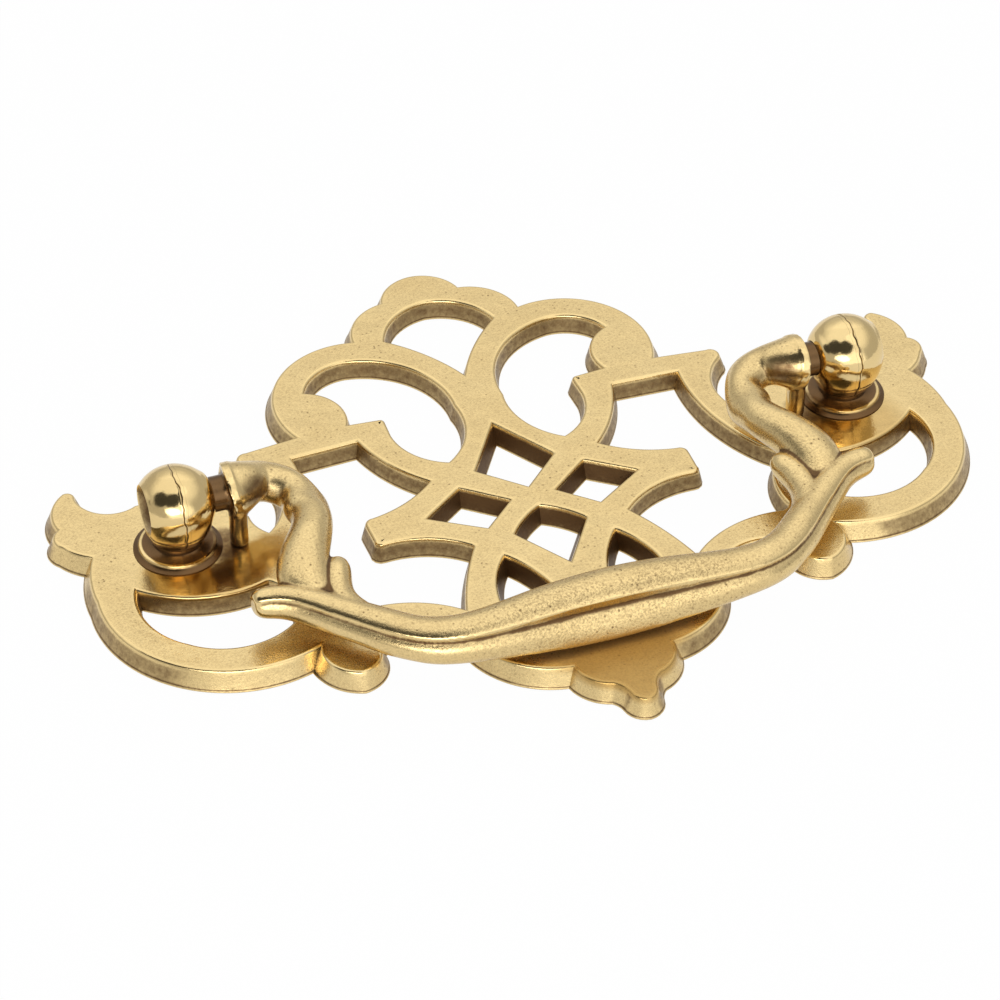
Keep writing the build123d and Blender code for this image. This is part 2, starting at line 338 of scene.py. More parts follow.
@dataclass(frozen=True)
class BrassFinish:
    """One state of the cast brass."""

    name: str
    metal: Colour = (0.84, 0.64, 0.31)
    # Darker brown tone, used for the broad smudges and for painted reflection.
    deep_tone_and_reflection: Colour = (0.53, 0.33, 0.10)
    # Colour of the brown oxide, used for the pits and for painted shade as well.
    tarnish_and_shade: Colour = (0.125, 0.062, 0.024)
    smudge: Point = (-0.12, 0.28)
    roughness: float = 0.25
    dulled: float = 0.46
    shine: float = 0.5
    pits: float = 1.0
    pit_cover: float = 0.75
    pit_depth: float = 0.02
    depth: float = 0.95
    swell: float = 0.10
    relief: float = 0.8
    film: float = 0.22
    dull_metal: float = 0.45

    def material(self, effects: list[Effect]) -> bpy.types.Material:
        """Builds the material from the shared effects.

        Args:
            effects: Shared cast pits, patina and polish marks, in this order.

        Returns:
            The new material.
        """
        made = bpy.data.materials.new(self.name)
        made.use_nodes = True
        graph = Graph(made.node_tree)
        groups = [graph.node("ShaderNodeGroup", {}, node_tree=effect.tree) for effect in effects]
        cast, patina_and_shade, polish = groups
        graph.feed(cast, {"Amount": self.pits, "Gloss": polish.outputs["Gloss"]})
        graph.feed(patina_and_shade, {"Depth": self.depth})
        pits, tarnish_and_shade, matte = cast.outputs["Pits"], patina_and_shade.outputs["Tarnish_and_Shade"], polish.outputs["Matte"]
        smudge = graph.span(patina_and_shade.outputs["Smudge"], *self.smudge)
        # Darker tone where the smudges fall, and painted reflection where the polish marks ask for it.
        tone_and_reflection = graph.maths("MAXIMUM", smudge, polish.outputs["PaintedReflection"])
        clear = graph.blend(tone_and_reflection, self.metal, self.deep_tone_and_reflection)
        pitted = graph.blend(graph.span(pits, 0.0, self.pit_cover), clear, self.tarnish_and_shade)
        worn = graph.maths("MAXIMUM", graph.maths("MAXIMUM", pits, tarnish_and_shade), matte)
        dull = graph.span(worn, self.roughness, self.dulled)
        shine = graph.span(polish.outputs["Gloss"], 1.0, self.shine)
        film = graph.maths("MAXIMUM", graph.span(tarnish_and_shade, 0.0, self.film), matte)
        bump = {}
        for source, distance in ((polish, self.swell), (cast, self.pit_depth)):
            bump.update(Strength=self.relief, Distance=distance * MM, Height=source.outputs["Height"])
            bump = {"Normal": graph.node("ShaderNodeBump", bump).outputs["Normal"]}
        looks = {
            # The base colour darkens by oxide and painted shade together.
            "Base Color": graph.blend(tarnish_and_shade, pitted, self.tarnish_and_shade),
            "Roughness": graph.maths("MULTIPLY", dull, shine),
            "Metallic": graph.span(film, 1.0, self.dull_metal),
            **bump,
        }
        graph.feed(graph.tree.nodes["Principled BSDF"], looks)
        return made


def settled(bm: bmesh.types.BMesh, name: str) -> bpy.types.Mesh:
    """Turns an edit mesh into a named mesh and frees it.

    Args:
        bm: The edit mesh.
        name: Name of the mesh.

    Returns:
        The new mesh.
    """
    mesh = bpy.data.meshes.new(name)
    bm.to_mesh(mesh)
    bm.free()
    return mesh


def placed(name: str, data: bpy.types.ID) -> bpy.types.Object:
    """Puts a new object in the scene.

    Args:
        name: Name of the object.
        data: Its mesh, lamp or camera.

    Returns:
        The new object.
    """
    made = bpy.data.objects.new(name, data)
    bpy.context.scene.collection.objects.link(made)
    return made


def bridge(bm: bmesh.types.BMesh, rows: list[list[bmesh.types.BMVert]]) -> None:
    """Joins closed rows of vertices, one after another, by bands of faces.

    Args:
        bm: Edit mesh that takes the faces.
        rows: Rows of the same number of vertices.
    """
    for upper, lower in zip(rows, rows[1:]):
        for i, j in zip(range(-1, len(upper) - 1), range(len(upper))):
            bm.faces.new((upper[i], upper[j], lower[j], lower[i]))


def bell(value: float, middle: float, width: float) -> float:
    """Bell curve that is 1 at its middle and falls away over a width."""
    return exp(-(((value - middle) / width) ** 2))


def mark(mesh: bpy.types.Mesh, grime_and_shade: np.ndarray, rub: np.ndarray) -> None:
    """Writes on a mesh where it darkens, with oxide and painted shade, and where polish rubs.

    Args:
        mesh: Mesh that takes the marks.
        grime_and_shade: Share of darkening at each vertex, oxide and painted shade.
        rub: Share of rubbing at each vertex.
    """
    for name, values in (("grime_and_shade", grime_and_shade), ("rub", rub)):
        layer = mesh.attributes.new(name, "FLOAT", "POINT")
        layer.data.foreach_set("value", np.clip(values, 0, 1).astype(np.float32))


def hollows(mesh: bpy.types.Mesh, passes: int) -> np.ndarray:
    """Finds how far each vertex lies below its smoothed surroundings.

    Args:
        mesh: Even, dense mesh in metres.
        passes: Rounds of smoothing; more of them look further.

    Returns:
        Depth at each vertex in millimetres, negative on ridges.
    """
    count = len(mesh.vertices)
    start = np.array([vertex.co for vertex in mesh.vertices]) / MM
    normals = np.array([vertex.normal for vertex in mesh.vertices])
    ends = np.array([edge.vertices[:] for edge in mesh.edges])
    smooth = start.copy()
    share = np.maximum(np.bincount(ends.ravel(), minlength=count), 1)[:, None]
    for _ in range(passes):
        total = np.zeros_like(smooth)
        for axis in range(3):
            total[:, axis] = np.bincount(ends[:, 0], smooth[ends[:, 1], axis], count)
            total[:, axis] += np.bincount(ends[:, 1], smooth[ends[:, 0], axis], count)
        smooth = total / share
    return ((smooth - start) * normals).sum(axis=1)


def piece(
    name: str, mesh: bpy.types.Mesh, brass: bpy.types.Material, carrier: Carrier
) -> bpy.types.Object:
    """Puts a mesh in the scene as one smooth-shaded piece.

    Args:
        name: Name of the piece.
        mesh: Its mesh, in metres.
        brass: Its material.
        carrier: Body that it rides on.

    Returns:
        The new object.
    """
    mesh.polygons.foreach_set("use_smooth", [True] * len(mesh.polygons))
    mesh.set_sharp_from_angle(angle=CREASE)
    mesh.materials.clear()
    mesh.materials.append(brass)
    made = placed(name, mesh)
    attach(made, carrier.value)
    return made


@dataclass(frozen=True)
class Stretch:
    """Straight or circular stretch of an outline, in millimetres."""

    start: np.ndarray
    middle: np.ndarray
    end: np.ndarray

    def circle(self) -> tuple[np.ndarray, float, float] | None:
        """Finds the circle of the stretch.

        Returns:
            Its centre, the angle at the start and the angle swept, or None for a straight stretch.
        """
        first, second = self.middle - self.start, self.end - self.start
        cross = first[0] * second[1] - first[1] * second[0]
        if abs(cross) < STRAIGHT * np.linalg.norm(second) ** 2:
            return None
        square = (first @ first * second - second @ second * first) / (2 * cross)
        centre = self.start + np.array((square[1], -square[0]))
        angles = [atan2(*(p - centre)[::-1]) for p in (self.start, self.middle, self.end)]
        turn = 1 if cross > 0 else -1
        swept = (angles[2] - angles[0]) * turn % (2 * pi)
        return centre, angles[0], swept * turn

    def at(self, shares: np.ndarray) -> np.ndarray:
        """Finds points of the stretch.

        Args:
            shares: Shares of the stretch, from 0 at its start to 1 at its end.

        Returns:
            One point for each share.
        """
        circle = self.circle()
        if circle is None:
            return self.start + shares[:, None] * (self.end - self.start)
        centre, first, swept = circle
        angles = first + shares * swept
        radius = np.linalg.norm(self.start - centre)
        return centre + radius * np.stack((np.cos(angles), np.sin(angles)), axis=1)

    def heading(self, share: float) -> np.ndarray:
        """Unit direction along the stretch at a share of it."""
        ends = self.at(np.array((share - SMALL_SHARE, share + SMALL_SHARE)))
        return (ends[1] - ends[0]) / np.linalg.norm(ends[1] - ends[0])

    def length(self) -> float:
        """Length along the stretch."""
        points = self.at(np.linspace(0, 1, 9))
        return float(np.linalg.norm(np.diff(points, axis=0), axis=1).sum())


class Outline:
    """Closed outline of stretches that can be drawn at any distance beside itself."""

    spacing: float = 0.4

    def __init__(
        self, start: Point, runs: list[Run], mirrored: bool = False, flipped: bool = False
    ) -> None:
        """Joins the stretches.

        Args:
            start: First point.
            runs: One point for a straight stretch, two for an arc, as (middle, end).
            mirrored: True where the runs are the right half and the left half reflects them.
            flipped: True for the reflection of the whole outline.
        """
        corners, middles = [np.array(start, float)], []
        for run in runs:
            end = np.array(run[-1], float)
            middles.append(np.array(run[0], float) if len(run) == 2 else (corners[-1] + end) / 2)
            corners.append(end)
        if mirrored:
            corners += [corner * MIRROR for corner in corners[-2::-1]]
            middles += [middle * MIRROR for middle in middles[::-1]]
        if flipped:
            corners, middles = [c * MIRROR for c in corners], [m * MIRROR for m in middles]
        self.stretches = [Stretch(*three) for three in zip(corners, middles, corners[1:])]
        loop = np.array(corners[:-1])
        ahead = np.roll(loop, -1, axis=0)
        self.turn = 1.0 if (loop[:, 0] * ahead[:, 1] - ahead[:, 0] * loop[:, 1]).sum() > 0 else -1.0

    def side(self, heading: np.ndarray) -> np.ndarray:
        """Unit direction out of the outline, square to a heading."""
        return np.array((heading[1], -heading[0])) * self.turn

    def beside(self, distance: float) -> np.ndarray:
        """Draws the outline at a distance outside itself.

        Args:
            distance: Millimetres outside, or inside where negative.

        Returns:
            Points about a spacing apart, the same number at every distance.
        """
        moved = []
        for before, after in zip([self.stretches[-1], *self.stretches[:-1]], self.stretches):
            first, second = self.side(before.heading(1.0)), self.side(after.heading(0.0))
            moved.append(after.start + distance * (first + second) / (1 + first @ second))
        points = []
        for index, stretch in enumerate(self.stretches):
            middle = stretch.at(np.array((0.5,)))[0] + distance * self.side(stretch.heading(0.5))
            shifted = Stretch(moved[index], middle, moved[(index + 1) % len(moved)])
            count = max(2, ceil(stretch.length() / self.spacing))
            points.append(shifted.at(np.arange(count) / count))
        return np.concatenate(points)


@dataclass
class Backplate:
    """Pierced strapwork plate, with the outline and piercings of the casting."""

    thickness: float = 2.5
    post_x: float = 38.1
    outer_lean: float = 20.0
    inner_lean: float = 13.0
    small_lean: float = 21.0
    edge: float = 0.34
    edge_rows: int = 5
    lip: float = 0.06
    inner_lip: float = 0.018
    line_top: float = 0.62
    line_foot: float = 0.45
    flash_middle: float = 0.33
    ease: float = 0.16
    ease_width: float = 0.25
    # Painted shade on the walls stands for the darker surroundings that they reflect; outer walls facing
    # the lit side keep less of it.
    outer_wall_shade: float = 0.52
    inner_wall_shade: float = 0.58
    narrow_wall_shade: float = 0.85
    narrow: float = 13.0
    lit_side: Point = (-0.30, -0.954)
    lit_side_from: float = 0.5
    lit_side_fade: float = 0.3
    lit_side_most: float = 0.95
    probe: float = 0.1
    pin_hole: float = 3.02
    outline: Outline = field(init=False)
    piercings: list[Outline] = field(init=False)

    def __post_init__(self) -> None:
        """Lays out the outer edge and every opening."""
        self.outline = self.outer_edge()
        self.piercings = self.centre_openings()
        for start, runs in self.side_openings():
            self.piercings += [Outline(start, runs), Outline(start, runs, flipped=True)]

    def wing(self, offset: float, y: float) -> Point:
        """Point set from the right post's centre line."""
        return (self.post_x + offset, y)

    def outer_edge(self) -> Outline:
        """Draws the outer edge.

        Returns:
            The edge from the crown round to the finial, and its reflection.
        """
        w = self.wing
        runs = [
            [(3.3, 35.1), (4.7, 32.7)],
            [(8.2, 31.0), (9.95, 27.0)],
            [(19.4, 24.05), (21.0, 13.1)],
            [w(-11.2, 12.45)],
            [w(-10.0, 11.9), w(-10.15, 10.7)],
            [w(-12.5, 7.2), w(-12.6, 3.9)],
            [w(-11.6, 1.3), w(-9.7, -0.9)],
            [w(-8.85, 0.4), w(-8.5, 2.3)],
            [w(-5.6, 6.3), w(-0.5, 8.2)],
            [w(2.5, 8.0)],
            [w(6.9, 8.5), w(8.2, 11.2)],
            [w(8.35, 12.2), w(9.3, 12.4)],
            [w(11.2, 9.9), w(11.25, 6.9)],
            [w(12.1, 5.6), w(11.5, 3.9)],
            [w(10.4, 2.4), w(9.05, 1.4)],
            [w(10.1, -1.9), w(10.3, -5.4)],
            [w(2.6, -19.3), w(-9.4, -19.6)],
            [w(-9.7, -23.0), w(-12.3, -24.85)],
            [w(-14.6, -23.5), w(-15.1, -20.8)],
            [w(-19.1, -19.4), (14.2, -22.7)],
            [(11.7, -28.15), (5.6, -31.2)],
            [(4.75, -33.4), (2.65, -34.8)],
            [(1.9, -35.6), (1.5, -36.7)],
            [(0.95, -37.7), (0, -38.1)],
        ]
        return Outline((0, 36.45), runs, mirrored=True)

    def centre_openings(self) -> list[Outline]:
        """Draws the openings on the centre line.

        Returns:
            The crown opening and two diamonds.
        """
        return [
            Outline((0, 31.2), [[(4.6, 29.1), (6.45, 25.9)], [(2.75, 22.0), (0, 17.35)]], mirrored=True),
            Outline((0, 8.15), [[(4.45, 1.2)], [(0, -3.05)]], mirrored=True),
            Outline((0, -6.4), [[(2.2, -7.9), (4.0, -9.9)], [(0, -15.9)]], mirrored=True),
        ]

    def side_openings(self) -> list[tuple[Point, list[Run]]]:
        """Draws the openings right of the centre line.

        Returns:
            Start and runs of the scroll eye, diamond, petal eye, window and crescent.
        """
        w = self.wing
        scroll_eye = [
            [(15.8, 22.7), (12.0, 23.8)],
            [(5.3, 20.1), (2.9, 12.6)],
            [(3.7, 7.0), (6.7, 3.6)],
            [(10.0, 6.4), (11.1, 10.0)],
            [(11.0, 12.4)],
            [(11.15, 12.8), (11.5, 12.95)],
            [(15.0, 13.25)],
            [(14.8, 17.0), (17.8, 20.1)],
        ]
        diamond = [[(11.95, -4.45)], [(6.4, -8.0)], [(2.65, -4.55)], [(7.15, -0.95)]]
        petal_eye = [
            [(8.2, -15.9), (9.05, -20.0)],
            [(6.0, -24.6), (2.95, -20.0)],
            [(4.2, -15.9), (6.25, -12.75)],
        ]
        window = [
            [w(-15.6, 9.8)],
            [w(-15.3, 3.0), w(-11.6, -5.4)],
            [w(-10.4, -6.8)],
            [w(-12.9, -11.0), w(-13.0, -15.0)],
            [w(-13.4, -15.6), w(-14.4, -15.75)],
            [w(-21.0, -16.6), (12.9, -19.3)],
            [(11.2, -14.7), (8.8, -10.25)],
            [(13.2, -7.5), (17.6, -6.95)],
            [(18.3, -6.7), (18.4, -6.0)],
            [(18.45, -3.5)],
            [(18.2, -2.7), (17.4, -2.4)],
            [(13.4, -1.2), (9.75, 1.25)],
            [(13.0, 5.4), (14.9, 10.15)],
        ]
        crescent = [
            [w(6.35, -9.2), w(3.1, -14.7)],
            [w(-2.6, -16.95), w(-7.9, -15.2)],
            [w(-9.0, -11.6), w(-7.4, -8.3)],
            [w(-1.4, -8.75), w(5.9, -5.25)],
        ]
        return [
            ((17.8, 20.1), scroll_eye),
            ((7.15, -0.95), diamond),
            ((6.25, -12.75), petal_eye),
            ((14.9, 10.15), window),
            (w(5.9, -5.25), crescent),
        ]

    def profile(self, lean: float, lip: float, wall_shade: float) -> list[Step]:
        """Edge profile from the flat front, over the rounded edge and down the leaning wall.

        Args:
            lean: Lean of the wall in degrees.
            lip: Width of the casting flash at the back.
            wall_shade: Share of painted shade on the wall.

        Returns:
            Steps of distance away from the metal, height above the back, grime and rub.
        """
        top = self.thickness
        slope = tan(radians(lean))
        steps = [(-self.edge * 2.2, top, 0.0, 0.0), (-self.edge * 1.2, top, 0.0, 0.5)]
        for share in np.linspace(0, 1, self.edge_rows):
            turn = share * radians(90 - lean)
            out = self.edge * (sin(turn) - 1.0)
            steps.append((out, top - self.edge * (1.0 - cos(turn)), 0.0, 1.0 - 0.4 * share))
        out, high = steps[-1][:2]
        # Height and darkening down the wall, painted shade for the darker surroundings that it reflects,
        # darkest in the line above the flash.
        wall = [
            (0.86 * high, wall_shade),
            (0.6 * high, 1.1 * wall_shade),
            (self.line_top, 0.8 * wall_shade + 0.1),
            (self.line_foot, 0.8),
        ]
        for height, grime_and_shade in wall:
            steps.append((out + (high - height) * slope, height, grime_and_shade, 0.0))
        foot = out + (high - self.flash_middle) * slope
        return [
            *steps,
            (foot + 0.7 * lip, 0.35, 0.3, 0.2),
            (foot + lip, 0.26, 0.0, 0.7),
            (foot + lip - 0.05, self.ease, 0.3, 0.0),
            (foot - self.ease_width, 0.0, 0.6, 0.0),
        ]

    def seat(self) -> list[Step]:
        """Lays out the ring of plate round a post, darkened beside the collar with oxide and painted
        shade, and the spigot's hole.

        Returns:
            Steps of distance from the hole, height above the back, grime and rub.
        """
        top, hole = self.thickness, self.pin_hole
        # Darkening beside the collar: oxide in the corner and painted shade where the collar and the ball
        # shade the plate.
        rings = ((6.6, 0.0), (6.0, 0.05), (5.5, 0.45), (5.1, 0.9), (4.6, 1.0), (hole, 1.0))
        return [*((radius - hole, top, grime_and_shade, 0.0) for radius, grime_and_shade in rings), (0.0, 0.0, 0.4, 0.0)]

    def build(self) -> bpy.types.Mesh:
        """Builds the plate's mesh.

        Returns:
            A closed mesh, in metres, with its marks.
        """
        bm = bmesh.new()
        fronts, backs, marks = [], [], []
        walls = [(self.outline, 1.0, self.profile(self.outer_lean, self.lip, self.outer_wall_shade))]
        inner = self.profile(self.inner_lean, self.inner_lip, self.inner_wall_shade)
        narrow = self.profile(self.small_lean, self.inner_lip, self.narrow_wall_shade)
        for hole in self.piercings:
            small = np.ptp(hole.beside(0.0), axis=0).max() < self.narrow
            walls.append((hole, -1.0, narrow if small else inner))
        for side in (-1, 1):
            x, r = side * self.post_x, self.pin_hole
            circle = Outline((x + r, 0), [[(x, r), (x - r, 0)], [(x, -r), (x + r, 0)]])
            walls.append((circle, 1.0, self.seat()))
        for outline, away, profile in walls:
            rings = []
            facing = outline.beside(self.probe) - outline.beside(0.0)
            # Painted light: outer walls that face the front light shed part of their painted shade.
            lit_facing = (facing @ self.lit_side / self.probe - self.lit_side_from) / self.lit_side_fade
            lit_share = np.clip(lit_facing, 0, self.lit_side_most) if outline is self.outline else 0.0
            for distance, height, grime_and_shade, rub in profile:
                points = outline.beside(away * distance)
                rings.append([bm.verts.new((x * MM, y * MM, height * MM)) for x, y in points])
                kept = np.broadcast_to(grime_and_shade * (1 - lit_share * (height > self.line_foot)), len(points))
                marks += np.column_stack((kept, np.full(len(points), rub))).tolist()
            bridge(bm, rings)
            fronts.append(rings[0])
            backs.append(rings[-1])
        for rings, normal in ((fronts, (0, 0, 1)), (backs, (0, 0, -1))):
            edges = [bm.edges.get((ring[i - 1], ring[i])) for ring in rings for i in range(len(ring))]
            bmesh.ops.triangle_fill(bm, use_beauty=True, use_dissolve=False, edges=edges, normal=normal)
        bmesh.ops.recalc_face_normals(bm, faces=bm.faces)
        mesh = settled(bm, "backplate_casting")
        mark(mesh, *np.array(marks).T)
        return mesh

    def dress(self, brass: bpy.types.Material) -> bpy.types.Object:
        """Makes the plate stand for its solid, in the given brass."""
        made = piece("backplate_casting", self.build(), brass, Carrier.BASE)
        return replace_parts(made, "backplate")


@dataclass
class Post:
    """Ball post: a bored ball with a casting seam on a waisted neck and a bevelled collar."""

    node: str
    side: int
    post_x: float = 38.1
    plate: float = 2.5
    pivot: float = 8.5
    ball: float = 4.3
    rise: float = 4.0
    fall: float = 5.7
    bore: float = 1.96
    countersink: float = 2.7
    neck: float = 2.7
    spigot: float = 3.0
    screw: float = 1.75
    collar: float = 4.1
    collar_base: float = 4.7
    screw_depth: float = 5.0
    chamfer: float = 0.08
    bevel: Point = (0.12, 0.48)
    seam: float = 0.06
    twin_seam: Point = (-0.42, 0.04)
    seam_depth: float = 0.06
    seam_waves: tuple[Place, ...] = ((7, 0.03, 0.5), (17, 0.02, 0.0))
    sway: float = 0.085
    sway_waves: tuple[Place, ...] = ((5, 1.0, 0.0), (11, 0.6, 1.0), (23, 0.4, 2.0))
    flash: Point = (0.13, 0.07)
    flash_height: float = 0.05
    rows: int = 80
    seam_rows: int = 41
    turns: int = 180

    def ball_profile(self) -> list[Step]:
        """Half section of the ball along the pivot line, before it is drawn out into an egg.

        Returns:
            Steps of distance along the line, radius, grime and rub.
        """
        inner = sqrt(self.ball**2 - self.bore**2)
        rim = sqrt(self.ball**2 - self.countersink**2)
        start, end = acos(rim / self.ball), pi - acos(inner / self.ball)
        # The bore and its countersink are darkened: oxide in the hollow and painted shade in the recess.
        section = [(-0.5, self.bore, 1.0, 0.0), (rim - 0.75, self.bore, 0.85, 0.0)]
        section.append((rim - 0.12, self.countersink - 0.12, 0.5, 0.2))
        middle = (pi / 2 - start) / (end - start)
        close = middle + np.linspace(-0.06, 0.06, self.seam_rows)
        shares = np.concatenate((np.linspace(0, 1, self.rows), close))
        for share in np.unique(shares):
            angle = start + share * (end - start)
            along, out = self.ball * cos(angle), self.ball * sin(angle)
            crack = bell(along, 0.0, self.seam) + 0.5 * bell(along, *self.twin_seam)
            section.append((along, out, min(0.95 * crack, 1.0), 0.4))
        return [*section, (-inner + 0.9, self.bore, 1.0, 0.0)]

    def stem_profile(self) -> list[Step]:
        """Half section of screw bore, spigot, collar and neck.

        Returns:
            Steps of radius, height, grime and rub.
        """
        top, screw, spigot, chamfer = self.plate, self.screw, self.spigot, self.chamfer
        foot, collar, neck = self.collar_base, self.collar, self.neck
        # The collar's side, the ledge inside its top edge and the neck are darkened: oxide and painted
        # shade under the ball.
        section = [
            (0.05, self.screw_depth, 1.0, 0.0),
            (screw, self.screw_depth - 0.05, 0.9, 0.0),
            (screw, chamfer, 0.5, 0.0),
            (screw + chamfer, 0.0, 0.0, 0.5),
            (spigot - 0.06, 0.0, 0.3, 0.3),
            (spigot, chamfer, 0.8, 0.0),
            (spigot, top, 1.0, 0.0),
            (foot - 0.05, top, 1.0, 0.0),
            (foot, top + chamfer, 1.0, 0.0),
        ]
        start, rise = self.bevel
        for share in np.linspace(0, 1, 9):
            out = collar + (foot - collar) * (1 - sin(share * pi / 2))
            section.append((out, top + start + rise * share, 1.0 - share**3, share**3))
        return [
            *section,
            (collar - 0.06, top + 0.69, 0.0, 1.0),
            (collar - 0.22, top + 0.73, 0.1, 1.0),
            (collar - 0.40, top + 0.74, 0.85, 0.0),
            (neck + 0.25, top + 0.86, 1.0, 0.0),
            (neck, top + 1.05, 1.0, 0.0),
            (neck, top + 1.6, 0.8, 0.0),
            (neck - 0.3, top + 2.6, 0.6, 0.0),
        ]

    def ripple(self, turn: float, waves: tuple[Place, ...]) -> float:
        """Sum of waves round the ball, each with its count, size and phase."""
        return sum(size * sin(count * turn + phase) for count, size, phase in waves)

    def drawn(self, along: float, out: float, turn: float) -> Place:
        """Place of a point of the ball, drawn out into an egg and with the wandering seam.

        Args:
            along: Distance along the pivot line.
            out: Radius about it.
            turn: Angle about it.

        Returns:
            Offsets from the ball's centre in millimetres.
        """
        sway = self.sway * self.ripple(turn, self.sway_waves) * bell(along, 0.0, 0.8)
        depth = self.seam_depth + self.ripple(turn, self.seam_waves)
        flash = bell(along, *self.flash) * (0.55 + 0.45 * sin(13 * turn))
        radius = out - depth * bell(along, 0.0, self.seam) + self.flash_height * flash
        share = min(max((out - self.countersink + 0.3) / 0.8, 0.0), 1.0)
        full = share * share * (3 - 2 * share)
        y, z = radius * cos(turn), radius * sin(turn)
        stretch = (self.rise if z > 0 else self.fall) / self.ball
        return self.side * (along + sway), y, z * (1 + (stretch - 1) * full)

    def spin(self, bm: bmesh.types.BMesh, section: list[Step], along_x: bool) -> list[Point]:
        """Turns a section about the post's pivot line or its own axis.

        Args:
            bm: Mesh that takes the faces.
            section: Steps of the section.
            along_x: True for a section along the pivot line, False for one up the post.

        Returns:
            Grime and rub of each new vertex.
        """
        rows, marks = [], []
        for first, second, grime_and_shade, rub in section:
            row = []
            for turn in np.arange(self.turns) * 2 * pi / self.turns:
                if along_x:
                    x, y, z = self.drawn(first, second, turn)
                    z += self.pivot
                else:
                    x, y, z = first * cos(turn), first * sin(turn), second
                row.append(bm.verts.new(((self.side * self.post_x + x) * MM, y * MM, z * MM)))
            rows.append(row)
            marks += [(grime_and_shade, rub)] * self.turns
        bridge(bm, rows)
        return marks

    def build(self) -> bpy.types.Mesh:
        """Builds the post's mesh.

        Returns:
            Ball and stem in one mesh, in metres, with its marks.
        """
        bm = bmesh.new()
        marks = self.spin(bm, self.ball_profile(), along_x=True)
        marks += self.spin(bm, self.stem_profile(), along_x=False)
        bmesh.ops.recalc_face_normals(bm, faces=bm.faces)
        mesh = settled(bm, self.node + "_turning")
        mark(mesh, *np.array(marks).T)
        return mesh

    def dress(self, brass: bpy.types.Material) -> bpy.types.Object:
        """Makes the post stand for its solid, in the given brass."""
        made = piece(self.node + "_turning", self.build(), brass, Carrier.BASE)
        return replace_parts(made, self.node)


